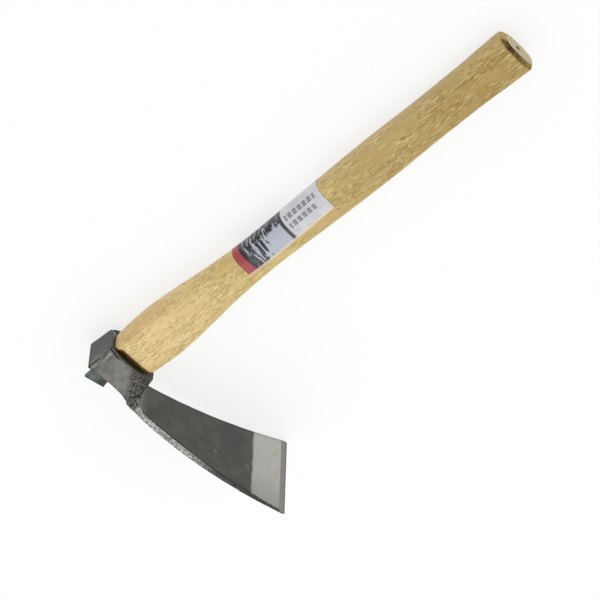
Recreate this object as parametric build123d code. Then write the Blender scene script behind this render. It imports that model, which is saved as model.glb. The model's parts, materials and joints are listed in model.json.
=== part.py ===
from build123d import *
import os
from math import cos, sin, pi

# One-hand adze hoe: an oak handle wedged into a forged steel eye, whose front carries a broad
# curved blade with a forge-welded layer of edge steel.
#
# Everything is first modelled in the tool's own frame: +X runs along the handle from the rim of
# the eye to the butt, +Y points from the blade to the poll, and Z runs across the tool.
# The finished tool is then laid on its side, as it comes to rest on a bench: one corner of the
# blade, one corner of the eye and the butt touch the floor, and the origin is under its middle.

# ---- driving dimensions, millimetres ----
butt_end = 376.0            # length of the handle that stands out of the eye
tenon_end = -22.5           # the tenon stops just inside the far side of the eye
shoulder_start = 4.5        # the shoulder's bevel ends here, and the full section begins
shoulder_inset = 2.8        # how far the shoulder's bevel steps in all round
side_ratio = 0.708          # the handle is flatter across than it is deep
butt_bevel = 2.8            # length of the bevel round the butt
butt_inset = 4.4            # how far that bevel steps in
centre_mark_radius = 1.2    # lathe centre mark in the butt
centre_mark_depth = 4.0
grip_squareness = 2.8       # power of the superellipse that the grip's section follows
sharp_corner_extra = 4.2    # added to it at the shoulder's sharpest corner, by the poll and near side
far_corner_extra = 0.6      # added at the corner by the poll and far side
blade_corner_extra = 1.4    # and at both corners towards the blade
corner_fade = 60.0          # the extra squareness is gone this far along the handle
section_points = 36         # points on each section of the handle

# half depth of the handle at stations along it: shoulder, waist, palm swell and flared butt
handle_stations = [
    (shoulder_start, 18.3), (14, 19.3), (34, 20.2), (60, 18.9), (94, 15.9), (130, 14.5),
    (180, 15.5), (244, 16.6), (292, 16.0), (332, 16.2), (354, 16.9), (butt_end - butt_bevel, 17.5),
]

eye_wall = 4.0              # wall of the eye
eye_height = 32.0           # depth of the blank that the eye is trimmed from
foot_room = 5.0             # how far the cut under the foot runs out behind the poll
poll_y = 21.3               # flat face of the poll
front_y = -24.0             # front of the eye, where the blade joins it

# half outlines of the eye as (y, z), at its rim, its waist and its foot, from the poll to the front
rim_outline = [(poll_y, 13.7), (11, 17.4), (0, 17.2), (-11, 14.2), (-20, 9.2), (front_y, 4.5)]
waist_outline = [(poll_y, 15.2), (11, 17.5), (0, 17.5), (-11, 16.8), (-20, 15.6), (front_y, 13.2)]
foot_outline = [(poll_y, 17.0), (11, 17.6), (0, 17.6), (-11, 17.6), (-20, 17.0), (front_y, 15.6)]
waist_x = -12.0
foot_arch = [(poll_y, -24.6), (2, -22.0), (front_y - 2, -25.8)]   # (y, x) along the foot

edge_y = -156.6             # the cutting edge
edge_x = 6.9
edge_land = 0.4             # thickness left at the edge
root_y = -12.0              # the blade blank is cut back to the eye's front from here
root_inner_x = -22.2
root_outer_x = -25.9
bevel_y = -129.5            # the ground bevel starts here
blade_flare = 0.2254        # how much half width the blade gains per millimetre of reach
edge_half_width = 47.6
inner_face = [(-36, -20.8), (-90, -12.3), (bevel_y, -1.9)]         # (y, x) of the blade's inner face
outer_face = [(-36, -25.8), (-95, -15.4), (edge_y, edge_x - edge_land)]

steel_layer = 0.8           # thickness of the edge steel
steel_reach = 38.0          # how far it runs back from the edge
steel_feather = 0.2         # part of that reach over which it thins out to nothing
steel_margin = 3.0          # the layer is drawn this far past the blade, then trimmed to it

weld_rise = 6.5             # how far the root weld climbs the front of the eye
weld_run = 8.5              # how far it runs out over the blade
weld_hollow = 0.32          # its hollow face dips to this part of both legs
weld_embed = 3.0            # it is drawn this far into the eye and the blade, then trimmed to them

wedge_outer_z = 12.5        # the wedge bears on the near wall of the eye
wedge_head_thickness = 3.6
wedge_tip_thickness = 1.0
wedge_taper_start = -22.0   # it thins from here to its tip
wedge_tip_x = -4.0
wedge_outline = [(-33.7, 15.6), (-29.8, -0.3), (-24.0, 1.4), (wedge_tip_x, 2.5),
                 (wedge_tip_x, 12.0), (-24.0, 16.1)]               # (x, y)

tenon_clearance = 0.15
tenon_near_z = wedge_outer_z - wedge_head_thickness

label_start = 115.4
label_length = 84.0
label_thickness = 0.25
label_edge_y = -4.7         # the label is centred on the poll side and wraps to here

lean_across = 10.14         # degrees the tool leans onto the blade's corner
lean_along = 0.97           # degrees the butt drops towards the floor

across = 60.0               # half width of cutting tools, more than any part's


# ---- shared outlines ----
def closed_face(*lines):
    """Flat face inside lines that join end to end."""
    return Face(Wire([edge for line in lines for edge in line.edges()]))


def squareness_at(x, y, z):
    """Power of the section at x, on the side that y and z point to. It is squarer by the shoulder."""
    poll_extra = sharp_corner_extra if z > 0 else far_corner_extra
    extra = poll_extra if y > 0 else blade_corner_extra
    return grip_squareness + extra * max(0.0, 1 - x / corner_fade)


def oval_face(x, half_depth, half_width):
    """Section across the handle: a rounded rectangle drawn as a superellipse."""
    points = []
    for step in range(section_points):
        turn = 2 * pi * step / section_points
        power = squareness_at(x, cos(turn), sin(turn))
        reach = (abs(cos(turn)) ** power + abs(sin(turn)) ** power) ** (-1 / power)
        points.append((x, half_depth * reach * cos(turn), half_width * reach * sin(turn)))
    return closed_face(Spline(*points, periodic=True))


def handle_body(extra=0.0):
    """The lofted handle above its shoulder, thickened all round by extra."""
    sections = [oval_face(x, half + extra, half * side_ratio + extra) for x, half in handle_stations]
    return loft(sections)


def eye_section(outline, x, inset):
    """Closed face of the eye at one height, drawn inset from its half outline."""
    near = []
    for y, z in outline:
        shifted_y = y - inset if y == poll_y else y + inset if y == front_y else y
        near.append(Vector(x, shifted_y, z - inset))
    far = [Vector(p.X, p.Y, -p.Z) for p in near]
    cheek = Spline(*near)
    front = Line(near[-1], far[-1])
    other_cheek = Spline(*far[::-1])
    poll = Line(far[0], near[0])
    return closed_face(cheek, front, other_cheek, poll)


def eye_blank(inset=0.0):
    """The eye as a solid block between its foot and its rim."""
    foot = eye_section(foot_outline, -eye_height, inset)
    waist = eye_section(waist_outline, waist_x, inset)
    rim = eye_section(rim_outline, 0, inset)
    return loft([foot, waist, rim], ruled=True)


def side_prism(*lines):
    """Solid with a side outline in X and Y that runs right across the tool."""
    return extrude(closed_face(*lines), amount=across, dir=(0, 0, 1), both=True)


def flat_points(pairs):
    """(y, x) pairs as points in the tool's side plane."""
    return [Vector(x, y, 0) for y, x in pairs]


# ---- the pieces ----
def make_eye():
    """Forged eye: walls round a slot that runs right through, with an arched foot."""
    arch = ThreePointArc(*flat_points(foot_arch))
    start, end = arch @ 0, arch @ 1
    behind_y = start.Y + foot_room
    below = [Vector(-across, end.Y, 0), Vector(-across, behind_y, 0), Vector(start.X, behind_y, 0)]
    under_foot = side_prism(arch, Polyline(end, *below, start))
    through_slot = eye_blank(eye_wall)
    return eye_blank() - through_slot - under_foot


def blade_plan():
    """Prism with the blade's tapering plan, right through its thickness."""
    root_half_width = edge_half_width - blade_flare * (root_y - edge_y)
    corners = [(edge_y, edge_half_width), (root_y, root_half_width),
               (root_y, -root_half_width), (edge_y, -edge_half_width)]
    outline = Polyline(*[Vector(0, y, z) for y, z in corners], close=True)
    return extrude(closed_face(outline), amount=across, dir=(1, 0, 0), both=True)


def blade_sides():
    """Inner and outer curves of the blade, prolonged under the eye."""
    inner = ThreePointArc(*flat_points(inner_face))
    outer = ThreePointArc(*flat_points(outer_face))
    inner_root = Line(Vector(root_inner_x, root_y, 0), inner @ 0)
    outer_root = Line(Vector(root_outer_x, root_y, 0), outer @ 0)
    return inner_root, inner, outer, outer_root


def make_blade_blank():
    """The whole blade before the edge steel is let in."""
    inner_root, inner, outer, outer_root = blade_sides()
    edge_top = Vector(edge_x, edge_y, 0)
    bevel = Line(inner @ 1, edge_top)
    land = Line(edge_top, outer @ 1)
    heel = Line(inner_root @ 0, outer_root @ 0)
    profile = side_prism(inner_root, inner, bevel, land, outer, outer_root, heel)
    return (profile & blade_plan()) - eye_blank()


def make_edge_steel(blank):
    """Hard layer under the edge, feathered out where it ends inside the blade."""
    outer = ThreePointArc(*flat_points(outer_face))
    reach = steel_reach / outer.length
    lift = Vector(steel_layer, 0, 0)
    under = Vector(-steel_margin, 0, 0)
    start, tip = outer @ (1 - reach), outer @ 1
    full = outer @ (1 - (1 - steel_feather) * reach) + lift
    middle = outer @ (1 - (1 - steel_feather) * reach / 2) + lift
    beyond = tip + lift + (outer % 1) * steel_margin
    top = [Line(start, full), ThreePointArc(full, middle, tip + lift), Line(tip + lift, beyond)]
    below = [Line(beyond, beyond + under), Line(beyond + under, start + under), Line(start + under, start)]
    return side_prism(*top, *below) & blank


def make_root_weld(blank):
    """Hollow fillet of weld in the corner between the front of the eye and the blade."""
    _, inner, _, _ = blade_sides()
    face_x = (inner @ 0).X
    climb = Vector(face_x + weld_rise, front_y, 0)
    toe = Vector(face_x, front_y - weld_run, 0)
    hollow = Vector(face_x + weld_hollow * weld_rise, front_y - weld_hollow * weld_run, 0)
    inside = [climb + Vector(0, weld_embed, 0), Vector(face_x - weld_embed, front_y + weld_embed, 0),
              toe - Vector(weld_embed, 0, 0)]
    bead = side_prism(ThreePointArc(toe, hollow, climb), Polyline(climb, *inside, toe))
    return (bead & blade_plan()) - eye_blank() - blank


def make_wedge():
    """Steel wedge driven in from the foot of the eye, with its head standing out."""
    outline = Polyline(*[Vector(x, y, 0) for x, y in wedge_outline], close=True)
    plate = side_prism(outline)
    head_x = min(x for x, _ in wedge_outline)
    taper = Polyline(
        Vector(head_x, 0, wedge_outer_z), Vector(wedge_tip_x, 0, wedge_outer_z),
        Vector(wedge_tip_x, 0, wedge_outer_z - wedge_tip_thickness),
        Vector(wedge_taper_start, 0, wedge_outer_z - wedge_head_thickness),
        Vector(head_x, 0, wedge_outer_z - wedge_head_thickness), close=True)
    side = extrude(closed_face(taper), amount=across, dir=(0, 1, 0), both=True)
    return plate & side


def make_handle(wedge):
    """Handle in one piece of oak: grip, bevelled shoulder, tenon and bevelled butt."""
    body = handle_body()
    _, shoulder_half = handle_stations[0]
    butt_x, butt_half = handle_stations[-1]
    shoulder = loft([
        oval_face(0, shoulder_half - shoulder_inset, shoulder_half * side_ratio - shoulder_inset),
        oval_face(shoulder_start, shoulder_half, shoulder_half * side_ratio)], ruled=True)
    butt = loft([
        oval_face(butt_x, butt_half, butt_half * side_ratio),
        oval_face(butt_end, butt_half - butt_inset, butt_half * side_ratio - butt_inset)], ruled=True)
    fit = eye_blank(eye_wall + tenon_clearance)
    tenon_length = -tenon_end
    tenon_room = Box(tenon_length, 2 * across, across + tenon_near_z,
                     align=(Align.MAX, Align.CENTER, Align.MAX))
    tenon = fit & Pos(0, 0, tenon_near_z) * tenon_room
    centre_mark = Pos(butt_end, 0, 0) * Rot(0, 90, 0) * Cylinder(centre_mark_radius, 2 * centre_mark_depth)
    return body + shoulder + butt + tenon - wedge - centre_mark


def make_label(handle):
    """Printed label, one thin skin over the poll side of the grip and both its faces."""
    room = Pos(label_start, label_edge_y, 0) * Box(
        label_length, across, 2 * across, align=(Align.MIN, Align.MIN, Align.CENTER))
    return (handle_body(label_thickness) & room) - handle


# ---- laying the tool down ----
def lay_on_side(pieces):
    """Lean every piece as the tool rests, and bring the origin to the floor under its middle."""
    lean = Rot(0, lean_along, 0) * Rot(-lean_across, 0, 0)
    leaned = {name: lean * piece for name, piece in pieces.items()}
    box = Compound(list(leaned.values())).bounding_box()
    middle = box.center()
    return {name: Pos(-middle.X, -middle.Y, -box.min.Z) * piece for name, piece in leaned.items()}


def build():
    blank = make_blade_blank()
    edge_steel = make_edge_steel(blank)
    wedge = make_wedge()
    handle = make_handle(wedge)
    return {
        "handle": handle,
        "eye_collar": make_eye(),
        "blade": blank - edge_steel,
        "edge_steel": edge_steel,
        "root_weld": make_root_weld(blank),
        "wedge": wedge,
        "label": make_label(handle),
    }


os.makedirs("parts", exist_ok=True)
for name, piece in lay_on_side(build()).items():
    export_step(piece, f"parts/{name}.step")
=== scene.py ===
import json
import math

import bpy
from mathutils import Matrix, Vector, noise


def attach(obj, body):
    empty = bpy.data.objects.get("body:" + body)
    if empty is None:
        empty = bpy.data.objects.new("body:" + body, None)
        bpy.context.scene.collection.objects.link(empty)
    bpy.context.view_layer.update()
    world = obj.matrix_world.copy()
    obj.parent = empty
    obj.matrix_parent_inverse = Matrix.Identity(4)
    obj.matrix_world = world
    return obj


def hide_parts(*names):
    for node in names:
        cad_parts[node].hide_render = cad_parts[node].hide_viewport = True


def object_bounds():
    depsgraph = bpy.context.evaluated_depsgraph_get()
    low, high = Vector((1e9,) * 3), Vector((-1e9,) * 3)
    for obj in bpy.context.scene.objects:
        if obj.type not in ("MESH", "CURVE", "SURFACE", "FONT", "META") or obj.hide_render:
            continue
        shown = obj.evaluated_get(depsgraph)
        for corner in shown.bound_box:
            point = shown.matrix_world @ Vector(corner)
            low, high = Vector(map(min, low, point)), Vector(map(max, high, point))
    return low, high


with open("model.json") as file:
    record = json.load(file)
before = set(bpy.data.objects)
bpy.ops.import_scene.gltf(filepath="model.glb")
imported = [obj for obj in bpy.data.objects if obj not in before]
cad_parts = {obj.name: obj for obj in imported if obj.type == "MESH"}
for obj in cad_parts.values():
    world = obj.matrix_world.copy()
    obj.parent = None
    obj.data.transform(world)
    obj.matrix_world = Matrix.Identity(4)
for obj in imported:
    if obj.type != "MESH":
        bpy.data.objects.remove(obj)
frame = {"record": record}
cad_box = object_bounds()

# The tool's own frame, in millimetres: X along the handle from the rim of the eye to the butt,
# Y from the blade to the poll, Z across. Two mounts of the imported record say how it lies.
MM = 0.001
mounts = {mount["name"]: mount for mount in frame["record"]["mounts"]}
along = Vector(mounts["grip"]["axis"]).normalized()
to_poll = Vector(mounts["poll_face"]["axis"]).normalized()
across = along.cross(to_poll)
POLL_Y = 21.3
poll_centre = Vector((-12.0, POLL_Y, 0.0))
tool_axes = Matrix((along, to_poll, across)).transposed()
tool_origin = Vector(mounts["poll_face"]["pos_m"]) - tool_axes @ poll_centre * MM
TOOL = Matrix.Translation(tool_origin) @ tool_axes.to_4x4() @ Matrix.Scale(MM, 4)

# ---- sizes, millimetres ----
BUTT_END = 376.0
SHOULDER_X, SHOULDER_INSET = 4.5, 2.8
SIDE_RATIO = 0.708
GRIP_SQUARENESS, CORNER_FADE = 2.8, 60.0
SHARP_CORNER_EXTRA, FAR_CORNER_EXTRA, BLADE_CORNER_EXTRA = 6.5, 0.6, 1.4
BUTT_BEVEL, BUTT_INSET = 2.8, 4.9
TENON_END, TENON_Y = -22.5, -1.5
TENON_HALF_DEPTH, TENON_HALF_WIDTH, TENON_SQUARENESS = 18.0, 12.4, 3.2
HANDLE_STATIONS = [
    (SHOULDER_X, 18.3), (14, 19.3), (34, 20.2), (60, 18.9), (94, 15.9), (130, 14.5), (180, 15.5),
    (244, 16.6), (292, 16.0), (332, 16.2), (354, 16.9), (BUTT_END - BUTT_BEVEL, 17.5),
]
LABEL_START, LABEL_LENGTH = 115.4, 84.0
LABEL_WRAP = 26.2           # how far the label reaches round each side of the poll line
RED_END, ARC_AT = 5.4, 46.0
TEXT_START, TEXT_ROWS = 49.6, ((9.0, 79.0), (15.8, 75.0))    # each row: its place round, its end

EYE_WALL, EYE_LENGTH = 4.0, 24.0
FRONT_Y = -24.0
RIM = [(POLL_Y, 13.7), (11, 17.4), (0, 17.2), (-11, 14.2), (-20, 9.2), (FRONT_Y, 4.5)]
WAIST = [(POLL_Y, 15.2), (11, 17.5), (0, 17.5), (-11, 16.8), (-20, 15.6), (FRONT_Y, 13.2)]
FOOT = [(POLL_Y, 17.0), (11, 17.6), (0, 17.6), (-11, 17.6), (-20, 17.0), (FRONT_Y, 15.6)]
WAIST_X, FOOT_X = -12.0, -32.0
FOOT_ARCH = [(POLL_Y, -24.6), (2, -22.0), (-26, -25.8)]

EDGE_Y, EDGE_X, EDGE_LAND = -156.6, 6.9, 0.4
BEVEL_Y, BEVEL_X = -129.5, -1.9
FACET_Y = -36.4
EDGE_HALF_WIDTH, FLARE = 47.6, 0.2254
INNER_FACE = [(-36, -20.8), (-90, -12.3), (BEVEL_Y, BEVEL_X)]
OUTER_FACE = [(-36, -25.8), (-95, -15.4), (EDGE_Y, EDGE_X - EDGE_LAND)]
STEEL_LAYER, STEEL_START = 0.8, -121.0
WELD_RISE, WELD_RUN = 6.5, 8.5
FACE_STEPS = 72             # points across each face of the blade

WEDGE_TIP_X, WEDGE_OUTER_Z, WEDGE_TIP_THICK, WEDGE_THICK = -4.0, 12.5, 1.0, 3.6
WEDGE_SEAT_Z = 8.9
WEDGE_LOW_SIDE = [(0.0, 2.5), (0.68, 1.4), (1.0, -0.3)]      # (part of the way to the head, y)
WEDGE_HIGH_SIDE = [(0.0, 12.0), (0.68, 16.1), (1.0, 15.6)]
WEDGE_HEAD_X = (-29.8, -33.4)


# ---- small maths ----
def smooth(low, high, value):
    """0 below low, 1 above high, with an eased step between. Works with low above high too."""
    t = min(max((value - low) / (high - low), 0.0), 1.0)
    return t * t * (3 - 2 * t)


def mix(a, b, t):
    return a + (b - a) * t


def through(points, x):
    """Smooth curve through (x, y) points in rising x, by cubic Hermite spans."""
    last = len(points) - 1
    i = 0
    while i < last - 1 and x > points[i + 1][0]:
        i += 1

    def slope(k):
        low, high = points[max(k - 1, 0)], points[min(k + 1, last)]
        return (high[1] - low[1]) / (high[0] - low[0])

    (x0, y0), (x1, y1) = points[i], points[i + 1]
    width = x1 - x0
    t = min(max((x - x0) / width, 0.0), 1.0)
    rise = (2 * t**3 - 3 * t**2 + 1) * y0 + (3 * t**2 - 2 * t**3) * y1
    return rise + (t**3 - 2 * t**2 + t) * width * slope(i) + (t**3 - t**2) * width * slope(i + 1)


def along_line(points, t):
    """Value at t on the straight runs through (t, value) points in rising t."""
    for (t0, low), (t1, high) in zip(points, points[1:]):
        if t <= t1:
            return mix(low, high, (t - t0) / (t1 - t0))
    return points[-1][1]


def parabola(points, x):
    """Value at x of the parabola through three (x, y) points."""
    total = 0.0
    for i, (xi, yi) in enumerate(points):
        term = yi
        for j, (xj, _) in enumerate(points):
            if j != i:
                term *= (x - xj) / (xi - xj)
        total += term
    return total


def rough(point, size, seed, octaves=3):
    """Fractal noise of about -1 to 1 whose largest lumps are size millimetres across."""
    where = Vector(point) / size + Vector((17.3, 5.1, 9.7)) * seed
    return noise.fractal(where, 1.0, 2.0, octaves)


def steps(start, end, count):
    return [mix(start, end, k / (count - 1)) for k in range(count)]


# ---- meshes ----
def make_piece(name, points, faces, materials, slots=None, uv=None, sharp=35):
    """Mesh object from points in the tool's frame. slots gives each face's material number."""
    mesh = bpy.data.meshes.new(name)
    mesh.from_pydata([TOOL @ Vector(p) for p in points], [], faces)
    for material in materials:
        mesh.materials.append(material)
    if slots:
        mesh.polygons.foreach_set("material_index", slots)
    if uv:
        layer = mesh.uv_layers.new(name="face_map")
        for loop in mesh.loops:
            layer.data[loop.index].uv = uv[loop.vertex_index]
    mesh.validate()
    mesh.shade_smooth()
    mesh.set_sharp_from_angle(angle=math.radians(sharp))
    piece = bpy.data.objects.new(name, mesh)
    bpy.context.collection.objects.link(piece)
    return piece


def skin(rings, closed=False):
    """Quads between neighbouring rings of equally many points. closed joins the last to the first."""
    size = len(rings[0])
    points = [p for ring in rings for p in ring]
    faces = []
    rows = []
    for r in range(len(rings) if closed else len(rings) - 1):
        below, above = r * size, (r + 1) % len(rings) * size
        for k in range(size):
            nxt = (k + 1) % size
            faces.append((below + k, below + nxt, above + nxt, above + k))
            rows.append(r)
    return points, faces, rows


def cap(points, faces, rows, ring_start, size, row, flip):
    """Closes a ring with a fan about its middle."""
    ring = range(ring_start, ring_start + size)
    middle = [sum(points[i][axis] for i in ring) / size for axis in range(3)]
    points.append(tuple(middle))
    for k in range(size):
        a, b = ring_start + k, ring_start + (k + 1) % size
        faces.append((b, a, len(points) - 1) if flip else (a, b, len(points) - 1))
        rows.append(row)


def displace(points, faces, amount):
    """Moves every point along its normal by amount(point, normal), in millimetres."""
    normals = [Vector((0, 0, 0)) for _ in points]
    for face in faces:
        a, b, c = (Vector(points[i]) for i in face[:3])
        facing = (b - a).cross(c - a)
        for i in face:
            normals[i] += facing
    moved = []
    for p, n in zip(points, normals):
        n = n.normalized() if n.length > 0 else n
        moved.append(tuple(Vector(p) + n * amount(Vector(p), n)))
    return moved


def even_ring(path, count, rounding):
    """Closed path redrawn with evenly spaced points, its corners rounded off."""
    lengths = [0.0]
    for k in range(len(path)):
        step = Vector(path[(k + 1) % len(path)]) - Vector(path[k])
        lengths.append(lengths[-1] + step.length)
    fine = []
    k = 0
    for n in range(count):
        target = lengths[-1] * n / count
        while lengths[k + 1] < target:
            k += 1
        t = (target - lengths[k]) / max(lengths[k + 1] - lengths[k], 1e-9)
        fine.append(Vector(path[k]).lerp(Vector(path[(k + 1) % len(path)]), t))
    reach = max(1, round(rounding / (lengths[-1] / count)))
    soft = []
    for n in range(count):
        window = [fine[(n + d) % count] for d in range(-reach, reach + 1)]
        soft.append(sum(window, Vector((0, 0))) / len(window))
    return soft


# ---- shader building ----
class Shader:
    """One procedural material, with short calls for the nodes that it uses."""

    def __init__(self, name):
        self.material = bpy.data.materials.new(name)
        self.material.use_nodes = True
        self.nodes = self.material.node_tree.nodes
        self.links = self.material.node_tree.links
        self.surface = self.nodes["Principled BSDF"]
        place = self.nodes.new("ShaderNodeTexCoord")
        self.tool = self.nodes.new("ShaderNodeMapping")
        self.tool.vector_type = "TEXTURE"
        self.tool.inputs["Location"].default_value = tool_origin
        self.tool.inputs["Rotation"].default_value = tool_axes.to_euler()
        self.tool.inputs["Scale"].default_value = (MM, MM, MM)
        self.links.new(place.outputs["Object"], self.tool.inputs["Vector"])

    def put(self, socket, value):
        if hasattr(value, "links"):
            self.links.new(value, socket)
        else:
            socket.default_value = value

    def set(self, **values):
        for name, value in values.items():
            self.put(self.surface.inputs[name.replace("_", " ")], value)

    def math(self, operation, a, b=0.0, clamp=False):
        node = self.nodes.new("ShaderNodeMath")
        node.operation = operation
        node.use_clamp = clamp
        self.put(node.inputs[0], a)
        self.put(node.inputs[1], b)
        return node.outputs[0]

    def part(self, axis):
        """One coordinate of the tool's frame, in millimetres."""
        split = self.nodes.new("ShaderNodeSeparateXYZ")
        self.links.new(self.tool.outputs[0], split.inputs[0])
        return split.outputs[axis]

    def stretched(self, x, y, z, source=None):
        """The tool's coordinates divided by these lengths, in millimetres."""
        node = self.nodes.new("ShaderNodeVectorMath")
        node.operation = "DIVIDE"
        self.links.new(source or self.tool.outputs[0], node.inputs[0])
        node.inputs[1].default_value = (x, y, z)
        return node.outputs[0]

    def shifted(self, vector, by):
        """A vector moved by a colour or vector of small size."""
        node = self.nodes.new("ShaderNodeVectorMath")
        node.operation = "ADD"
        self.links.new(vector, node.inputs[0])
        self.put(node.inputs[1], by)
        return node.outputs[0]

    def noise(self, vector, detail=3.0, roughness=0.55, warp=0.0):
        node = self.nodes.new("ShaderNodeTexNoise")
        self.links.new(vector, node.inputs["Vector"])
        node.inputs["Scale"].default_value = 1.0
        node.inputs["Detail"].default_value = detail
        node.inputs["Roughness"].default_value = roughness
        node.inputs["Distortion"].default_value = warp
        return node.outputs["Fac"]

    def cells(self, vector, randomness=1.0):
        node = self.nodes.new("ShaderNodeTexVoronoi")
        self.links.new(vector, node.inputs["Vector"])
        node.inputs["Scale"].default_value = 1.0
        node.inputs["Randomness"].default_value = randomness
        return node.outputs["Distance"]

    def span(self, value, low, high, start=0.0, end=1.0):
        """Value eased from low..high to start..end."""
        node = self.nodes.new("ShaderNodeMapRange")
        node.interpolation_type = "SMOOTHSTEP"
        self.put(node.inputs["Value"], value)
        for name, number in (("From Min", low), ("From Max", high), ("To Min", start), ("To Max", end)):
            node.inputs[name].default_value = number
        return node.outputs["Result"]

    def blend(self, factor, a, b):
        node = self.nodes.new("ShaderNodeMix")
        node.data_type = "RGBA"
        self.put(node.inputs[0], factor)
        self.put(node.inputs[6], a)
        self.put(node.inputs[7], b)
        return node.outputs[2]

    def bump(self, height, depth, after=None):
        """Relief of the given depth in millimetres."""
        node = self.nodes.new("ShaderNodeBump")
        node.inputs["Strength"].default_value = 1.0
        node.inputs["Distance"].default_value = depth * MM
        self.put(node.inputs["Height"], height)
        if after:
            self.links.new(after, node.inputs["Normal"])
        return node.outputs["Normal"]


def rgb(red, green, blue):
    """Colour from 0-255 display values."""
    linear = [((v / 255 + 0.055) / 1.055) ** 2.4 if v > 10 else v / 255 / 12.92 for v in (red, green, blue)]
    return (*linear, 1.0)


def oak(name, end_grain=False, stain_and_shade=None):
    """Light oak: soft growth bands, pale streaks, and dark flecks and pores along the handle."""
    s = Shader(name)
    x = s.part("X")
    head = s.blend(s.span(x, 30.0, 120.0), rgb(225, 197, 136), rgb(207, 182, 113))
    body = s.blend(s.span(x, 110.0, 250.0), head, rgb(184, 158, 94))
    colour = s.blend(s.span(x, 240.0, 340.0), body, rgb(168, 140, 69))
    to_butt = s.span(x, 90.0, 300.0)
    bands = s.noise(s.stretched(70.0, 4.0, 4.0), 2.0, 0.5, 0.5)
    colour = s.blend(s.span(bands, 0.5, 0.72, 0.0, 0.28), colour, rgb(176, 138, 84))
    broad = s.noise(s.stretched(80.0, 14.0, 14.0), 2.0)
    colour = s.blend(s.span(broad, 0.45, 0.7, 0.0, 0.25), colour, rgb(206, 182, 112))
    # Painted shade: near the head, the poll side of the handle is coloured a darker, warmer brown.
    poll_side_shade = s.math("MULTIPLY", s.span(s.part("Y"), 14.6, 16.8), s.span(x, 80.0, 12.0))
    poll_side_shade = s.math("MULTIPLY", poll_side_shade, s.span(broad, 0.3, 0.6, 0.15, 0.6))
    colour = s.blend(poll_side_shade, colour, rgb(208, 166, 104))
    poll_light = s.math("MULTIPLY", s.span(s.part("Y"), 7.0, 14.0), s.span(x, 120.0, 200.0, 0.0, 0.35))
    colour = s.blend(poll_light, colour, rgb(218, 198, 140))
    if end_grain:
        pores = s.span(s.cells(s.stretched(0.8, 0.8, 0.8)), 0.16, 0.4, 1.0, 0.0)
        colour = s.blend(0.55, colour, rgb(205, 192, 168))
    else:
        busy = s.noise(s.stretched(26.0, 7.0, 7.0), 2.0)
        busy = s.math("ADD", busy, s.span(to_butt, 0.0, 0.7, 0.05, 0.0))
        calm = s.math("MULTIPLY", s.span(busy, 0.5, 0.42), s.span(to_butt, 0.0, 1.0, 0.1, 0.4))
        colour = s.blend(calm, colour, rgb(162, 136, 78))
        streaks = s.span(s.noise(s.stretched(10.5, 0.7, 0.7), 2.0, 0.6), 0.53, 0.62)
        streaks = s.math("MULTIPLY", streaks, s.span(busy, 0.4, 0.52, 0.4, 1.0))
        pale = s.math("MULTIPLY", streaks, s.span(to_butt, 0.0, 1.0, 0.7, 0.42))
        colour = s.blend(pale, colour, rgb(244, 224, 172))
        flecks = s.span(s.noise(s.stretched(5.2, 0.68, 0.68), 1.0, 0.5), 0.55, 0.63)
        hairs = s.span(s.noise(s.stretched(16.0, 0.42, 0.42), 2.0, 0.6), 0.52, 0.64)
        patches = s.span(busy, 0.4, 0.56, 0.2, 1.0)
        pores = s.math("MAXIMUM", flecks, s.math("MULTIPLY", hairs, 0.7))
        pores = s.math("MULTIPLY", pores, patches)
    dark = s.math("MULTIPLY", pores, s.span(to_butt, 0.0, 1.0, 0.42, 0.68))
    colour = s.blend(dark, colour, rgb(130, 98, 42))
    # The colour change passed in differs by part: real brown staining on the butt's bevel, grime with
    # painted shade on the shoulder, and a darkened centre hole at the butt.
    if stain_and_shade:
        colour = stain_and_shade(s, colour)
    relief = s.bump(s.math("SUBTRACT", 1.0, pores), 0.16)
    s.set(Base_Color=colour, Roughness=s.span(pores, 0.0, 1.0, 0.45, 0.65), Normal=relief)
    s.set(Coat_Weight=0.0 if stain_and_shade else 0.1, Coat_Roughness=0.4)
    s.set(Specular_IOR_Level=0.12 if stain_and_shade else 0.35)
    return s.material


def bevel_stain(s, colour):
    """Dark brown staining on the butt's bevel, on the side away from the floor."""
    near = s.span(s.part("Z"), 1.5, 7.0)
    blot = s.span(s.noise(s.stretched(5.0, 5.0, 5.0), 3.0), 0.3, 0.6, 0.6, 1.0)
    near = s.math("MULTIPLY", s.math("MULTIPLY", near, blot), s.span(s.part("Y"), -12.0, 8.0, 0.5, 1.0))
    inside = s.span(s.part("X"), BUTT_END - BUTT_BEVEL, BUTT_END - BUTT_BEVEL + 0.6)
    return s.blend(s.math("MULTIPLY", near, inside), colour, rgb(52, 29, 0))


def shoulder_grime_and_shade(s, colour):
    """Grime and painted shade: the shoulder darkens to almost black where it goes down into the eye, as
    shade falls in the recess.
    """
    deep = s.math("MULTIPLY_ADD", s.noise(s.stretched(3.0, 3.0, 3.0), 3.0), 1.6)
    deep.node.inputs[2].default_value = -0.8
    poll = s.span(s.part("Y"), 13.0, 17.5, 0.0, 3.4)
    depth = s.math("ADD", s.math("ADD", s.part("X"), deep), poll)
    colour = s.blend(s.span(depth, 4.9, 2.9), colour, rgb(120, 84, 40))
    return s.blend(s.span(depth, 3.0, 0.8), colour, rgb(82, 63, 29))


# The centre hole at the butt is coloured almost black.
def pit_darkening(s, colour):
    return s.blend(0.9, colour, rgb(42, 32, 20))


def speckle(s, colour, zone, grit):
    """Coarse scale: dark hollows and bright grains of uneven shape where zone is 1."""
    grains = s.cells(s.shifted(s.stretched(1.3, 1.3, 1.3), s.math("MULTIPLY", grit, 2.6)))
    dark = s.math("MULTIPLY", zone, s.span(grains, 0.34, 0.58))
    colour = s.blend(s.math("MULTIPLY", dark, 0.85), colour, rgb(34, 32, 30))
    bright = s.math("MULTIPLY", zone, s.span(grains, 0.26, 0.08))
    return s.blend(s.math("MULTIPLY", bright, 0.85), colour, rgb(192, 188, 176))


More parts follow.
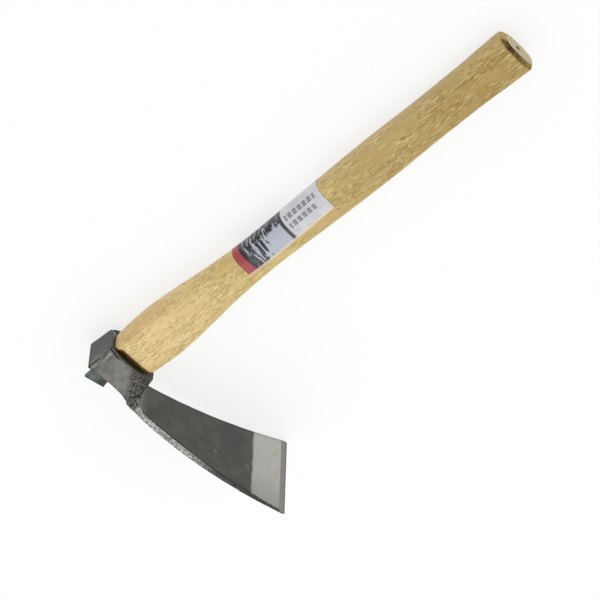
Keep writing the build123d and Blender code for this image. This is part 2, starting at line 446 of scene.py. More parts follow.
def forged(name, base, worn, eye=False, shaded_end=None):
    """Forged steel under grey scale: blotches, pits, and lighter rubbed high spots.

    shaded_end is a colour for the end towards the blade."""
    s = Shader(name)
    cloud = s.noise(s.stretched(9.0, 9.0, 9.0), 4.0, 0.6)
    grit = s.noise(s.stretched(0.9, 0.9, 0.9), 3.0, 0.65)
    pits = s.span(s.cells(s.stretched(1.6, 1.6, 1.6)), 0.12, 0.42, 1.0, 0.0)
    colour = s.blend(s.span(cloud, 0.35, 0.68), base, worn)
    colour = s.blend(s.span(grit, 0.45, 0.72, 0.0, 0.3), colour, rgb(150, 146, 138))
    if eye:
        x, y = s.part("X"), s.part("Y")
        lean = s.math("MULTIPLY_ADD", x, 0.7)
        lean.node.inputs[2].default_value = 1.0
        wander = s.math("MULTIPLY_ADD", cloud, 12.0)
        wander.node.inputs[2].default_value = -6.0
        zone = s.span(s.math("ADD", s.math("SUBTRACT", lean, y), wander), -3.0, 7.0)
        colour = s.blend(s.math("MULTIPLY", zone, 0.6), colour, rgb(98, 96, 89))
        colour = speckle(s, colour, s.math("MAXIMUM", zone, s.span(cloud, 0.5, 0.64, 0.0, 0.3)), grit)
        band = s.math("MULTIPLY", s.span(y, 16.2, 17.6), s.span(y, 21.0, 20.2))
        drawn = s.noise(s.stretched(16.0, 0.9, 16.0), 3.0, 0.6)
        raised = s.math("MULTIPLY", band, s.span(drawn, 0.52, 0.62, 0.0, 0.8))
        colour = s.blend(raised, colour, rgb(168, 164, 156))
        sunk = s.math("MULTIPLY", band, s.span(drawn, 0.46, 0.38, 0.0, 0.8))
        colour = s.blend(sunk, colour, rgb(46, 44, 45))
        # The poll face is coloured darker and purple-grey: the tint is the scale's own, the darkening is
        # painted shade for a face turned from the light.
        poll = s.span(y, POLL_Y - 1.1, POLL_Y - 0.5)
        colour = s.blend(s.math("MULTIPLY", poll, 0.85), colour, rgb(74, 72, 77))
        ridge = s.math("MULTIPLY", poll, s.span(s.part("Z"), RIM[0][1] - 8.5, RIM[0][1] - 5.0))
        colour = speckle(s, colour, s.math("MULTIPLY", ridge, 0.5), grit)
        scored = s.noise(s.stretched(14.0, 14.0, 1.3), 3.0, 0.6)
        raised = s.math("MULTIPLY", ridge, s.span(scored, 0.5, 0.57, 0.0, 0.8))
        colour = s.blend(raised, colour, rgb(150, 147, 148))
        sunk = s.math("MULTIPLY", ridge, s.span(scored, 0.48, 0.4, 0.0, 0.8))
        colour = s.blend(sunk, colour, rgb(36, 34, 36))
        lip = s.math("MULTIPLY", s.span(x, -1.8, -0.5), s.span(cloud, 0.35, 0.6, 0.65, 0.25))
        colour = s.blend(lip, colour, rgb(76, 84, 82))
        notch = s.span(s.math("ABSOLUTE", s.math("ADD", x, 1.5)), 0.9, 0.4)
        notch = s.math("MULTIPLY", notch, s.span(y, 9.0, 13.0))
        colour = s.blend(s.math("MULTIPLY", notch, s.span(poll, 1.0, 0.0)), colour, rgb(26, 25, 25))
        foot = s.span(s.math("SUBTRACT", x, s.math("MULTIPLY", cloud, 3.0)), -22.0, -24.6)
        colour = s.blend(s.math("MULTIPLY", foot, 0.6), colour, rgb(66, 66, 64))
        pits = s.math("MULTIPLY", pits, s.math("MULTIPLY_ADD", zone, 0.8))
    if shaded_end:
        colour = s.blend(s.span(s.part("Y"), 11.0, 2.0, 0.0, 0.75), colour, shaded_end)
    colour = s.blend(s.math("MULTIPLY", pits, 0.45), colour, rgb(44, 42, 41))
    height = s.math("SUBTRACT", s.math("MULTIPLY", grit, 0.5), pits)
    s.set(Base_Color=colour, Metallic=0.7, Roughness=s.span(grit, 0.3, 0.7, 0.4, 0.6))
    s.set(Normal=s.bump(height, 0.25))
    return s.material


def seam_y():
    """Where the bevel runs out onto the edge steel."""
    y = EDGE_Y
    while inner_x(y) - outer_x(y) - layer(y) < 0.06:
        y += 0.1
    return y


def side_gap(s):
    """Distance in from the nearer sheared side of the blade, in millimetres."""
    taper = s.math("MULTIPLY_ADD", s.part("Y"), -FLARE)
    taper.node.inputs[2].default_value = EDGE_HALF_WIDTH + FLARE * EDGE_Y
    return s.math("SUBTRACT", taper, s.math("ABSOLUTE", s.part("Z")))


def blade_steel(name):
    """Dark forge scale on the blade, ground bright over the bevel and lighter at the root."""
    s = Shader(name)
    y = s.part("Y")
    waver = s.noise(s.stretched(7.0, 7.0, 7.0), 2.0)
    line = s.math("MULTIPLY_ADD", waver, 1.8)
    line.node.inputs[2].default_value = BEVEL_Y - 0.9
    ground = s.span(s.math("SUBTRACT", line, y), -0.9, 1.2)
    cloud = s.noise(s.stretched(16.0, 12.0, 12.0), 4.0, 0.6)
    grit = s.noise(s.stretched(0.8, 0.8, 0.8), 3.0, 0.6)
    scale = s.blend(s.span(cloud, 0.3, 0.7), rgb(59, 60, 56), rgb(77, 78, 72))
    scale = s.blend(s.span(grit, 0.5, 0.75, 0.0, 0.22), scale, rgb(108, 107, 101))
    facet = s.math("MULTIPLY", s.span(y, FACET_Y - 0.3, FACET_Y + 0.3), s.span(y, -29.0, -32.0))
    facet = s.math("MULTIPLY", facet, s.span(s.part("X"), -24.0, -22.5))
    scale = s.blend(s.math("MULTIPLY", facet, 0.7), scale, rgb(91, 92, 86))
    rings = s.cells(s.stretched(15.0, 15.0, 15.0))
    ring = s.span(s.math("ABSOLUTE", s.math("SUBTRACT", rings, 0.08)), 0.0, 0.03, 0.75, 0.0)
    used_side = s.math("MULTIPLY", s.span(s.part("Z"), -4.0, 4.0), s.span(y, -66.0, -74.0))
    scale = s.blend(s.math("MULTIPLY", ring, used_side), scale, rgb(142, 141, 134))
    gap = side_gap(s)
    ragged_gap = s.math("MULTIPLY_ADD", s.noise(s.stretched(2.0, 3.0, 2.0), 3.0), 3.6)
    ragged_gap.node.inputs[2].default_value = -1.0
    rim = s.span(s.math("SUBTRACT", gap, ragged_gap), 2.4, 1.5)
    near = s.span(s.part("Z"), -1.0, 1.0)
    scale = s.blend(s.math("MULTIPLY", rim, s.span(near, 0.0, 1.0, 0.35, 0.95)), scale, rgb(14, 14, 12))
    burr = s.math("MULTIPLY", s.span(gap, 1.5, 0.9), s.span(near, 1.0, 0.0, 0.0, 0.7))
    scale = s.blend(burr, scale, rgb(150, 149, 142))
    streaks = s.noise(s.stretched(1.0, 0.5, 14.0), 3.0, 0.6)
    bright = s.blend(s.span(streaks, 0.3, 0.7), rgb(166, 165, 161), rgb(180, 179, 175))
    bright = s.blend(s.span(cloud, 0.42, 0.72, 0.0, 0.45), bright, rgb(166, 163, 156))
    bright = s.blend(s.span(s.part("Z"), 0.0, 44.0, 0.0, 0.6), bright, rgb(132, 132, 128))
    bright = s.blend(s.span(s.part("Z"), 0.0, -40.0, 0.0, 0.35), bright, rgb(190, 190, 184))
    tarnish = s.span(s.noise(s.stretched(9.0, 7.0, 12.0), 1.0), 0.55, 0.7, 0.0, 0.5)
    tarnish = s.math("MULTIPLY", tarnish, s.span(y, -136.0, -146.0))
    bright = s.blend(tarnish, bright, rgb(166, 158, 128))
    bright = s.blend(s.math("MULTIPLY", rim, s.span(near, 0.0, 1.0, 0.2, 0.9)), bright, rgb(44, 44, 41))
    seam = s.span(s.math("ABSOLUTE", s.math("SUBTRACT", y, seam_y())), 0.9, 0.2, 0.0, 0.55)
    bright = s.blend(seam, bright, rgb(84, 83, 80))
    colour = s.blend(ground, scale, bright)
    s.set(Base_Color=colour, Metallic=s.span(ground, 0.0, 1.0, 0.55, 0.9))
    s.set(Roughness=s.span(ground, 0.0, 1.0, 0.5, 0.4))
    height = s.math("MULTIPLY", s.math("SUBTRACT", 1.0, ground), grit)
    s.set(Normal=s.bump(s.math("ADD", height, s.math("MULTIPLY", streaks, 0.15)), 0.08))
    return s.material


def edge_metal(name):
    """The hard edge: ground bright, with fine strokes along it and a few faint tarnish spots."""
    s = Shader(name)
    streaks = s.noise(s.stretched(1.0, 0.3, 16.0), 3.0, 0.6)
    colour = s.blend(s.span(streaks, 0.3, 0.7), rgb(116, 114, 111), rgb(146, 144, 140))
    spots = s.span(s.noise(s.stretched(5.0, 2.5, 7.0), 2.0), 0.56, 0.7, 0.0, 0.55)
    colour = s.blend(spots, colour, rgb(140, 118, 82))
    last = s.span(s.part("Y"), EDGE_Y + 1.4, EDGE_Y + 0.5, 0.0, 0.5)
    colour = s.blend(last, colour, rgb(78, 77, 74))
    s.set(Base_Color=colour, Metallic=0.9, Roughness=0.4, Normal=s.bump(streaks, 0.03))
    return s.material


def side_metal(name):
    """Sheared and filed sides of the blade: lighter, coarse, streaked along the cut."""
    s = Shader(name)
    lumps = s.noise(s.stretched(1.4, 2.4, 1.4), 4.0, 0.65)
    fine = s.noise(s.stretched(0.5, 0.8, 0.5), 3.0, 0.6)
    colour = s.blend(s.span(lumps, 0.4, 0.6), rgb(118, 117, 113), rgb(196, 194, 190))
    colour = s.blend(s.span(fine, 0.52, 0.64, 0.0, 0.75), colour, rgb(54, 52, 49))
    towards_edge = s.span(s.part("Y"), -72.0, -106.0, 0.0, 0.9)
    colour = s.blend(towards_edge, colour, rgb(50, 50, 46))
    by_weld = s.span(s.math("ADD", s.part("Y"), s.math("MULTIPLY", lumps, 6.0)), -25.6, -24.0)
    colour = s.blend(s.math("MULTIPLY", by_weld, 0.7), colour, rgb(100, 98, 91))
    colour = speckle(s, colour, by_weld, fine)
    s.set(Base_Color=colour, Metallic=0.75, Roughness=0.48)
    s.set(Normal=s.bump(s.math("ADD", lumps, fine), 0.2))
    return s.material


# ---- handle ----
def handle_half(x):
    return through(HANDLE_STATIONS, x)


def squareness(x, y, z):
    """Power of the handle's section at x, on the side that y and z point to."""
    poll_extra = SHARP_CORNER_EXTRA if z > 0 else FAR_CORNER_EXTRA
    extra = poll_extra if y > 0 else BLADE_CORNER_EXTRA
    return GRIP_SQUARENESS + extra * max(0.0, 1 - x / CORNER_FADE)


def oval(x, half_depth, half_width, count, power=None):
    """Section across the handle. Without a power it has the squareness of the grip at x."""
    ring = []
    for k in range(count):
        turn = 2 * math.pi * k / count
        c, s = math.cos(turn), math.sin(turn)
        n = power or squareness(x, c, s)
        reach = (abs(c) ** n + abs(s) ** n) ** (-1 / n)
        ring.append((x, half_depth * reach * c, half_width * reach * s))
    return ring


def round_poll_side(ring):
    """Eases the butt's corner on the side of the poll."""
    ease_start, ease_length, ease_depth = BUTT_END - 7.5, 4.7, 0.05
    eased = []
    for x, y, z in ring:
        t = max(0.0, (x - ease_start) / ease_length)
        eased.append((x, y * (1 - ease_depth * t * t) if y > 0 else y, z))
    return eased


def grip_ring(x, extra, count):
    """Section of the grip, with the slight unevenness of a hand-shaved handle."""
    half = handle_half(x)
    ring = []
    for _, y, z in oval(x, half, half * SIDE_RATIO, count):
        dip = 0.10 * (1 + rough((x * 0.25, y, z), 14.0, 3)) * smooth(0, 20, x)
        shrink = 1 + (extra - dip) / max(half * SIDE_RATIO, 1)
        ring.append((x, y * shrink, z * shrink))
    return round_poll_side(ring)


def bevel_ring(x, inset, count):
    """Section of the butt inside its bevel, which is narrower on the side of the blade."""
    half = handle_half(BUTT_END - BUTT_BEVEL)
    ring = oval(x, half - inset, half * SIDE_RATIO - inset, count)
    return round_poll_side([(x, y - 0.45 * inset * smooth(2.0, -12.0, y), z) for x, y, z in ring])


def tenon_ring(x, inset, count):
    """Section of the tenon: it fills the eye, except beside the wedge."""
    half_depth, half_width = TENON_HALF_DEPTH - inset, TENON_HALF_WIDTH - inset
    ring = []
    for _, y, z in oval(x, half_depth, half_width, count, TENON_SQUARENESS):
        ring.append((x, y + TENON_Y, min(z, WEDGE_SEAT_Z - inset)))
    return ring


def make_handle():
    count = 160
    shoulder_half, shoulder_side = handle_half(SHOULDER_X), handle_half(SHOULDER_X) * SIDE_RATIO
    butt_x = BUTT_END - BUTT_BEVEL
    rings, kinds = [], []

    def add(ring, kind):
        rings.append(ring)
        kinds.append(kind)

    for inset in (12.0, 8.0, 4.0, 1.2, 0.4):
        add(tenon_ring(TENON_END, inset, count), "end")
    for x in steps(TENON_END + 0.5, -1.0, 10):
        add(tenon_ring(x, 0.0, count), "shoulder")
    for x, inset in ((0.0, SHOULDER_INSET), (0.3, 2.6), (1.5, 1.9), (3.0, 0.95), (4.1, 0.25)):
        by_poll = 0.92 * inset * smooth(0.0, 0.3, x)
        ring = oval(x, shoulder_half - inset, shoulder_side - inset, count)
        filled = []
        for _, y, z in ring:
            outward = math.copysign(by_poll * smooth(9.0, 15.0, y) * smooth(5.0, 12.0, abs(z)), z)
            filled.append((x, y + by_poll * smooth(6.0, 14.0, y), z + outward))
        add(filled, "shoulder")
    for x in steps(SHOULDER_X + 0.4, butt_x - 0.5, 210):
        add(grip_ring(x, 0.0, count), "oak")
    for step_x, inset in ((0.0, 0.12), (0.45, 0.55), (1.1, 1.6), (1.8, 2.7), (2.4, 3.75), (2.7, 4.3)):
        add(bevel_ring(butt_x + step_x, inset, count), "bevel")
    add(bevel_ring(BUTT_END, BUTT_INSET, count), "end")
    for depth, width in ((8.0, 5.0), (4.5, 3.0), (1.9, 1.8)):
        add(oval(BUTT_END, depth, width, count, 2.0 + 0.8 * smooth(2.0, 9.0, depth)), "end")
    for x, radius in ((BUTT_END - 0.2, 1.35), (BUTT_END - 1.2, 1.0), (BUTT_END - 3.2, 0.4)):
        add(oval(x, radius, radius, count, 2.0), "pit")
    points, faces, rows = skin(rings)
    cap(points, faces, rows, 0, count, 0, True)
    cap(points, faces, rows, (len(rings) - 1) * count, count, len(rings) - 1, False)
    palette = {
        "oak": oak("oak"),
        "bevel": oak("oak_bevel", stain_and_shade=bevel_stain),
        "shoulder": oak("oak_shoulder", stain_and_shade=shoulder_grime_and_shade),
        "end": oak("oak_end_grain", end_grain=True),
        "pit": oak("oak_centre_mark", end_grain=True, stain_and_shade=pit_darkening),
    }
    order = list(palette)
    slots = [order.index(kinds[min(row + 1, len(kinds) - 1)]) for row in rows]
    return make_piece("oak_handle", points, faces, list(palette.values()), slots, sharp=50)


# ---- label ----
def label_print(name):
    """Red end band, an abstract ink-stroke panel and a pale panel with plain bars for its wording."""
    s = Shader(name)
    uv = s.nodes.new("ShaderNodeUVMap")
    uv.uv_map = "face_map"
    split = s.nodes.new("ShaderNodeSeparateXYZ")
    s.links.new(uv.outputs[0], split.inputs[0])
    u, v = split.outputs["X"], split.outputs["Y"]
    mottle = s.noise(s.stretched(9, 9, 9), 2.0)
    paper = s.blend(s.span(mottle, 0.3, 0.7), rgb(202, 203, 206), rgb(187, 188, 193))
    # ink strokes: stretched noise that runs round the grip, dense by the poll line and the red band
    sweep = s.nodes.new("ShaderNodeMapping")
    s.links.new(uv.outputs[0], sweep.inputs["Vector"])
    sweep.inputs["Rotation"].default_value = (0, 0, math.radians(-14))
    sweep.inputs["Scale"].default_value = (0.42, 0.075, 1.0)
    strokes = s.noise(sweep.outputs[0], 2.0, 0.5, 0.7)
    opened = s.span(s.math("ADD", u, s.math("MULTIPLY", v, 0.6)), 34.0, 42.0)
    opened = s.math("MULTIPLY", opened, s.span(v, 7.0, 12.0, -0.05, 0.27))
    crowded = s.span(v, 13.0, 6.0, 0.0, 0.07)
    ink = s.span(s.math("ADD", s.math("SUBTRACT", strokes, opened), crowded), 0.455, 0.475)
    cross = s.nodes.new("ShaderNodeMapping")
    s.links.new(uv.outputs[0], cross.inputs["Vector"])
    cross.inputs["Rotation"].default_value = (0, 0, math.radians(12))
    cross.inputs["Scale"].default_value = (0.3, 0.06, 1.0)
    slits = s.math("ABSOLUTE", s.math("SUBTRACT", s.noise(cross.outputs[0], 2.0, 0.5, 0.6), 0.5))
    ink = s.math("MULTIPLY", ink, s.span(slits, 0.01, 0.02, 0.1, 1.0))
    red_edge = s.math("SUBTRACT", u, s.math("MULTIPLY", v, 0.07))
    border = s.span(s.math("ADD", red_edge, s.math("MULTIPLY", strokes, 2.0)), 9.6, 9.1)
    ink = s.math("MAXIMUM", ink, border)
    past_arc = s.math("SUBTRACT", u, ARC_AT)
    arc = s.span(s.math("ABSOLUTE", past_arc), 1.3, 1.7, 1.0, 0.0)
    art = s.blend(ink, rgb(172, 176, 188), rgb(20, 20, 25))
    art = s.blend(arc, art, rgb(52, 56, 62))
    colour = s.blend(s.span(past_arc, 1.3, 1.6), art, paper)
    colour = s.blend(s.span(red_edge, RED_END, RED_END + 0.5), rgb(157, 51, 60), colour)
    for row_v, last in TEXT_ROWS:
        off_row = s.math("SUBTRACT", v, row_v)
        in_row = s.span(s.math("ABSOLUTE", off_row), 2.1, 2.3, 1.0, 0.0)
        pitch = s.math("FRACT", s.math("MULTIPLY", u, 0.21))
        block = s.span(s.math("ABSOLUTE", s.math("SUBTRACT", pitch, 0.5)), 0.34, 0.37, 1.0, 0.0)
        line = s.math("FRACT", s.math("MULTIPLY_ADD", off_row, 0.7))
        line = s.span(s.math("ABSOLUTE", s.math("SUBTRACT", line, 0.5)), 0.26, 0.34, 1.0, 0.0)
        started = s.span(u, TEXT_START, TEXT_START + 0.3)
        inside = s.math("MULTIPLY", started, s.span(u, last, last + 0.3, 1.0, 0.0))
        bar = s.math("MULTIPLY", s.math("MULTIPLY", in_row, block), s.math("MULTIPLY", line, inside))
        colour = s.blend(s.math("MULTIPLY", bar, 0.95), colour, rgb(50, 50, 56))
    margin = s.span(s.math("ABSOLUTE", v), LABEL_WRAP - 1.7, LABEL_WRAP - 1.3)
    colour = s.blend(s.math("MULTIPLY", margin, 0.7), colour, rgb(222, 200, 172))
    s.set(Base_Color=colour, Roughness=0.36, Coat_Weight=0.1, Coat_Roughness=0.2)
    s.set(Normal=s.bump(s.noise(s.stretched(6.0, 3.0, 3.0), 2.0), 0.05))
    return s.material


def girth_point(x, reach, lift):
    """Point on the grip's skin, reach millimetres round from the poll line, lifted off by lift."""
    fine = grip_ring(x, lift, 360)
    side = 1 if reach >= 0 else -1
    run, k = 0.0, 0
    here = Vector(fine[0])
    while True:
        k += side
        there = Vector(fine[k % 360])
        step = (there - here).length
        if run + step >= abs(reach):
            return here.lerp(there, (abs(reach) - run) / step)
        run += step
        here = there


def make_label():
    """A thin printed skin with a little lift at its ends."""
    across_count, along_count = 61, 86
    top, under, uv = [], [], []
    for i in range(along_count):
        u = LABEL_LENGTH * i / (along_count - 1)
        x = LABEL_START + u
        for j in range(across_count):
            v = mix(-LABEL_WRAP, LABEL_WRAP, j / (across_count - 1))
            curl = 0.10 * (smooth(1.5, 0, u) + smooth(LABEL_LENGTH - 1.5, LABEL_LENGTH, u))
            wrinkle = 0.03 * (1 + rough((x * 0.4, v, 0), 6.0, 8))
            top.append(tuple(girth_point(x, v, 0.16 + curl * 0.5 + wrinkle)))
            under.append(tuple(girth_point(x, v, 0.02)))
            uv.append((u, v))
    size = across_count
    total = len(top)
    points = top + under
    faces = []
    for i in range(along_count - 1):
        for j in range(size - 1):
            a = i * size + j
            faces.append((a, a + 1, a + size + 1, a + size))
            faces.append((total + a, total + a + size, total + a + size + 1, total + a + 1))
    edge = list(range(size - 1)) + [k * size + size - 1 for k in range(along_count - 1)]
    edge += [total - 1 - k for k in range(size - 1)] + [k * size for k in range(along_count - 1, 0, -1)]
    for a, b in zip(edge, edge[1:] + edge[:1]):
        faces.append((b, a, total + a, total + b))
    return make_piece("printed_label", points, faces, [label_print("label_print")], uv=uv + uv, sharp=40)


# ---- eye ----
def eye_half(x):
    """The near half outline of the eye at one height, as (y, z) points."""
    half = []
    for rim, waist, foot in zip(RIM, WAIST, FOOT):
        if x > WAIST_X:
            t = (x - WAIST_X) / -WAIST_X
            half.append(Vector(waist).lerp(Vector(rim), t))
        else:
            t = (WAIST_X - x) / (WAIST_X - FOOT_X)
            half.append(Vector(waist).lerp(Vector(foot), t))
    return half


def eye_path(x, inset):
    """Closed outline of the eye, from the middle of the poll round by the near cheek."""
    half = eye_half(x)
    cheek = [(-y, z) for y, z in half]
    near = [(-through_y, through(cheek, through_y) - inset) for through_y in steps(-POLL_Y, -FRONT_Y, 46)]
    near[0] = (POLL_Y - inset, half[0][1] - inset)
    near = [(min(max(y, FRONT_Y + inset), POLL_Y - inset), z) for y, z in near]
    near[-1] = (FRONT_Y + inset, half[-1][1] - inset * 0.5)
    poll = [(POLL_Y - inset, z) for z in steps(0, near[0][1], 12)[:-1]]
    front = [(FRONT_Y + inset, z) for z in steps(near[-1][1], 0, 10)[1:-1]]
    upper = poll + near + front
    lower = [(y, -z) for y, z in upper[::-1]][:-1]
    return upper + [(FRONT_Y + inset, 0)] + lower


def foot_x(y):
    return parabola(FOOT_ARCH, y)


def rim_x(y, z):
    """The rim drops a little towards the front, and its corner by the poll and floor is rounded."""
    corner = math.hypot(POLL_Y - y, -14.0 - z)
    return -1.5 * smooth(-8, -24, y) - 2.4 * smooth(7, 0, corner)


def make_eye():
    count = 340
    profile = [(t, 0.0) for t in steps(0.014, 0.95, 46)]
    profile += [(0.975, 0.12), (0.993, 0.45), (1.0, 1.0), (1.0, 2.0), (1.0, 3.1), (0.992, 3.7)]
    profile += [(t, EYE_WALL) for t in [0.97] + steps(0.9, 0.06, 12)]
    profile += [(0.02, 3.6), (0.0, 3.0), (0.0, 2.0), (0.0, 0.7), (0.004, 0.2)]
    rings = []
    for t, inset in profile:
        middle = -EYE_LENGTH * (1 - t)
        rounding = 0.9 if inset < EYE_WALL else 2.2
        ring = []
        for y, z in even_ring(eye_path(middle, inset), count, rounding):
            x = mix(foot_x(y), rim_x(y, z), t)
            ring.append((x, y, z))
        rings.append(ring)
    points, faces, _ = skin(rings, closed=True)

    def dent(p, n):
        x, y, z = p
        zone = smooth(0, 6, 1 + 0.7 * x - y)
        by_weld = smooth(-12, -20, y) * smooth(-9, -15, x)
        pit = min(0.0, rough(p, 1.6, 1, 2) + 0.05) * (0.08 + 0.5 * zone * (1 - 0.6 * by_weld))
        lump = 0.4 * rough(p, 2.6, 4, 2) * max(by_weld, 0.3 * zone)
        swell = 0.14 * rough(p, 9.0, 2, 2)
        seam = math.exp(-((y - 18.2) / 1.6) ** 2) * smooth(10, 13, abs(z))
        burr = 0.22 * seam * math.sin(y * 4.2 + rough(p, 5.0, 5, 2))
        return -0.13 + swell + pit + lump + burr - 0.12 * zone + 0.8 * by_weld

    points = displace(points, faces, dent)
    size = count
    wall_rows = [inset for _, inset in profile]
    slots = [1 if wall_rows[k // size] > EYE_WALL - 0.2 else 0 for k in range(len(faces))]
    outside = forged("forged_eye", rgb(99, 98, 93), rgb(127, 125, 118), eye=True)
    # The inside of the eye is dark scale coloured darker still: painted shade for the narrow gap round the
    # tenon.
    inside = forged("eye_inside", rgb(40, 38, 37), rgb(62, 58, 55))
    return make_piece("forged_eye", points, faces, [outside, inside], slots, sharp=55)


# ---- blade ----
def inner_x(y):
    """Face of the blade towards the handle: flat at the root, curved, then the straight bevel."""
    if y < BEVEL_Y:
        return mix(BEVEL_X, EDGE_X, (BEVEL_Y - y) / (BEVEL_Y - EDGE_Y))
    curve = parabola(INNER_FACE, y)
    if y > FACET_Y:
        return parabola(INNER_FACE, FACET_Y) - 0.05 * (y - FACET_Y)
    return curve


def outer_x(y):
    return parabola(OUTER_FACE, y) if y < -36 else -25.8 - 0.004 * (y + 36)


def half_width(y):
    return EDGE_HALF_WIDTH - FLARE * (y - EDGE_Y)


def layer(y):
    return STEEL_LAYER * smooth(STEEL_START, STEEL_START - 6, y)


def plate_ring(y, low, high, side_of):
    """Closed section of the plate at one reach, with slightly eased corners."""
    wide = half_width(y)
    thick = high - low
    ease = min(0.35, thick * 0.3)
    near, far = wide - side_of(y, 1), -(wide - side_of(y, -1))
    top = [(high, z) for z in steps(far + ease, near - ease, FACE_STEPS)]
    bottom = [(low, z) for z in steps(near - ease, far + ease, FACE_STEPS)]
    near_wall = [(mix(high, low, t), near) for t in (0.3, 0.5, 0.7)]
    far_wall = [(mix(low, high, t), far) for t in (0.3, 0.5, 0.7)]
    return [(x, y, z) for x, z in top + near_wall + bottom + far_wall]


def ragged(y, side):
    """Unevenness of the blade's sheared sides, with its outer corners taken off."""
    wander = 0.16 * (1 + rough((0, y, side * 40), 9.0, 6)) + 0.08 * (1 + rough((0, y, side * 40), 1.5, 7))
    corner = 1.3 * (1 - math.sqrt(max(0.0, 1 - smooth(EDGE_Y + 2.6, EDGE_Y, y) ** 2)))
    return wander + corner


def plate_slots(rows, ring_size):
    """Material number of each face of a plate: 0 on its two faces, 1 on its side walls."""
    slots = []
    for k in range(len(rows)):
        place = k % ring_size
        on_near_side = FACE_STEPS - 1 <= place <= FACE_STEPS + 2
        on_far_side = place >= 2 * FACE_STEPS + 2
        slots.append(1 if on_near_side or on_far_side else 0)
    return slots


def make_blade(side_steel):
    meet = seam_y()
    reach = steps(-20.0, -40.0, 22)[:-1] + steps(-40.0, BEVEL_Y, 90)[:-1] + steps(BEVEL_Y, meet, 30)
    rings = [plate_ring(y, outer_x(y) + layer(y), inner_x(y), ragged) for y in reach]
    points, faces, rows = skin(rings)
    size = len(rings[0])
    slots = plate_slots(rows, size)
    cap(points, faces, rows, 0, size, 0, True)
    cap(points, faces, rows, (len(rings) - 1) * size, size, 0, False)
    slots += [0] * (2 * size)

    def dent(p, n):
        y = p.y
        calm = smooth(BEVEL_Y - 2, BEVEL_Y + 6, y)
        thin = smooth(EDGE_Y, BEVEL_Y + 10, y)
        wave = 0.14 * rough(p, 24.0, 11, 2) * thin
        scale = 0.05 * rough(p, 3.0, 12, 3) * calm
        pock = -0.22 * max(0.0, rough(p, 2.2, 13, 1) - 0.62) * calm
        at_root = 0.25 * rough(p, 2.0, 14, 3) * smooth(-36, -28, y)
        if abs(n.z) > 0.6:
            at_root = (0.35 + 0.5 * rough(p, 2.6, 15, 2)) * smooth(-30, -26, y)
        return -0.10 * thin + wave + scale + pock + at_root

    points = displace(points, faces, dent)
    materials = [blade_steel("blade_scale"), side_steel]
    return make_piece("curved_blade", points, faces, materials, slots, sharp=40)


def make_edge_steel(side_steel):
    reach = steps(STEEL_START - 1.0, EDGE_Y, 60)
    rings = []
    for y in reach:
        low = outer_x(y)
        high = min(inner_x(y), low + max(layer(y), 0.03))
        rings.append(plate_ring(y, low, high, ragged))
    points, faces, rows = skin(rings)
    size = len(rings[0])
    slots = plate_slots(rows, size)
    cap(points, faces, rows, 0, size, 0, True)
    cap(points, faces, rows, (len(rings) - 1) * size, size, 0, False)
    slots += [0] * (2 * size)
    materials = [edge_metal("edge_metal"), side_steel]
    return make_piece("edge_steel_layer", points, faces, materials, slots, sharp=40)


# ---- weld ----
def make_weld(side_steel):
    """Hollow, rippled fillet between the eye's front and the blade. Its ends meet the blade's sides."""
    face_x, across_count, curve_count = inner_x(-36), 90, 22
    dip = 0.14
    toe = Vector((face_x - 0.1, FRONT_Y - WELD_RUN))
    climb = Vector((face_x + WELD_RISE, FRONT_Y - 0.2))
    bend = Vector((face_x + dip * WELD_RISE, FRONT_Y - dip * WELD_RUN))
    curve = [toe.lerp(bend, t).lerp(bend.lerp(climb, t), t) for t in steps(0, 1, curve_count)]
    buried = [(climb.x - 1.5, FRONT_Y + 3), (face_x - 0.6, FRONT_Y + 3), (face_x - 0.6, toe.y)]
    outline = curve + [Vector(p) for p in buried]
    rings = []
    for t in steps(-1, 1, across_count):
        ring = []
        for k, (x, y) in enumerate(outline):
            z = t * (half_width(y) - 0.25)
            if k < curve_count:
                rise = math.sin(math.pi * k / (curve_count - 1))
                ripple = 0.16 * math.sin(z * 2.3 + 1.5 * rough((0, y, z), 6.0, 22, 2))
                lump = 0.6 * rough((x, y, z), 2.8, 21, 3)
                push = (ripple + lump) * rise
                x, y = x + push * 0.8, y - push * 0.6
            ring.append((x, y, z))
        rings.append(ring)
    points, faces, rows = skin(rings)
    size = len(outline)
    slots = [0] * len(faces)
    cap(points, faces, rows, 0, size, 0, True)
    cap(points, faces, rows, (len(rings) - 1) * size, size, 0, False)
    slots += [1] * (2 * size)
    metal = forged("weld_metal", rgb(92, 90, 84), rgb(124, 121, 114))
    return make_piece("root_weld_bead", points, faces, [metal, side_steel], slots, sharp=60)


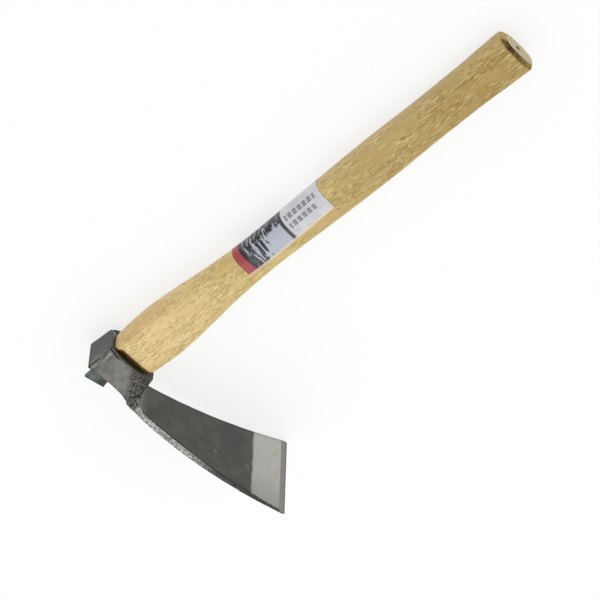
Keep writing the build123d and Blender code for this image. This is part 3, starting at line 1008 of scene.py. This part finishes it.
# ---- wedge ----
def make_wedge():
    """Steel plate wedge: thin at its tip, with a struck head that has spread a little."""
    count_wide, rows_along = 30, 44
    rings = []
    for i in range(rows_along + 1):
        t = i / rows_along
        low_y, high_y = along_line(WEDGE_LOW_SIDE, t), along_line(WEDGE_HIGH_SIDE, t)
        spread = 0.25 * smooth(0.94, 1.0, t) - 0.15
        thick = mix(WEDGE_TIP_THICK, WEDGE_THICK, smooth(0, 0.65, t))
        ring_pairs = []
        for w in steps(0.0, 1.0, count_wide + 1):
            x = mix(WEDGE_TIP_X, mix(*WEDGE_HEAD_X, w), t)
            y = mix(low_y, high_y, w)
            ring_pairs.append((x, y, WEDGE_OUTER_Z + spread, WEDGE_OUTER_Z - thick - spread))
        outer = [(x, y, high) for x, y, high, _ in ring_pairs]
        inner = [(x, y, low) for x, y, _, low in ring_pairs[::-1]]
        x0, y0, high0, low0 = ring_pairs[0]
        x1, y1, high1, low1 = ring_pairs[-1]
        near_side = [(x1, y1 + 0.12, mix(high1, low1, k)) for k in (0.2, 0.5, 0.8)]
        far_side = [(x0, y0 - 0.12, mix(low0, high0, k)) for k in (0.2, 0.5, 0.8)]
        rings.append(outer + near_side + inner + far_side)
    points, faces, rows = skin(rings)
    size = len(rings[0])
    cap(points, faces, rows, 0, size, 0, False)
    cap(points, faces, rows, (len(rings) - 1) * size, size, 0, True)

    def dent(p, n):
        return -0.12 + 0.08 * rough(p, 4.0, 31, 2) + 0.05 * rough(p, 1.2, 32, 2)

    points = displace(points, faces, dent)
    metal = forged("wedge_steel", rgb(66, 76, 74), rgb(98, 109, 105), shaded_end=rgb(46, 49, 48))
    return make_piece("steel_wedge", points, faces, [metal], sharp=45)


# ---- stage ----
def make_stage():
    bpy.ops.mesh.primitive_plane_add(size=8.0, location=(0, 0, cad_box[0].z))
    floor = bpy.context.object
    floor.name = "pale_floor"
    s = Shader("pale_floor")
    s.set(Base_Color=(0.24, 0.24, 0.24, 1), Roughness=0.9, Specular_IOR_Level=0.0)
    s.set(Emission_Color=(1, 1, 1, 1), Emission_Strength=0.74)
    floor.data.materials.append(s.material)

    world = bpy.data.worlds.new("studio")
    bpy.context.scene.world = world
    world.use_nodes = True
    nodes, links = world.node_tree.nodes, world.node_tree.links
    direction = nodes.new("ShaderNodeTexCoord")
    height = nodes.new("ShaderNodeSeparateXYZ")
    links.new(direction.outputs["Generated"], height.inputs[0])
    dome = nodes.new("ShaderNodeMapRange")
    links.new(height.outputs["Z"], dome.inputs["Value"])
    for name, value in (("From Min", 0.0), ("From Max", 1.0), ("To Min", 0.78), ("To Max", 1.02)):
        dome.inputs[name].default_value = value
    links.new(dome.outputs["Result"], nodes["Background"].inputs["Strength"])
    nodes["Background"].inputs["Color"].default_value = (1, 1, 1, 1)

    light = bpy.data.lights.new("key_softbox", "AREA")
    light.size = 1.4
    light.energy = 7.0
    lamp = bpy.data.objects.new("key_softbox", light)
    lamp.location = (-0.7, -0.6, 1.7)
    lamp.rotation_euler = (-lamp.location).to_track_quat("-Z", "Y").to_euler()
    bpy.context.collection.objects.link(lamp)


def make_camera():
    """Long lens from above the butt's side, rolled as the tool is shown."""
    aim = Vector((130.9, -40.5, 17.7))
    right, up, back = (0.7292, -0.6841, -0.0157), (0.5724, 0.6223, -0.5339), (0.375, 0.3803, 0.8454)
    distance = 2447.0
    data = bpy.data.cameras.new("camera")
    data.lens = 203.5
    data.sensor_width = 36.0
    camera = bpy.data.objects.new("camera", data)
    turn = tool_axes @ Matrix((right, up, back)).transposed()
    camera.matrix_world = Matrix.Translation(TOOL @ (aim + Vector(back) * distance)) @ turn.to_4x4()
    bpy.context.collection.objects.link(camera)
    bpy.context.scene.camera = camera


def finish_piece(piece, node):
    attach(piece, "root")
    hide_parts(node)


side_steel = side_metal("sheared_side")
finish_piece(make_handle(), "handle")
finish_piece(make_label(), "label")
finish_piece(make_eye(), "eye_collar")
finish_piece(make_blade(side_steel), "blade")
finish_piece(make_edge_steel(side_steel), "edge_steel")
finish_piece(make_weld(side_steel), "root_weld")
finish_piece(make_wedge(), "wedge")
make_stage()
make_camera()
bpy.context.scene.view_settings.view_transform = "Standard"
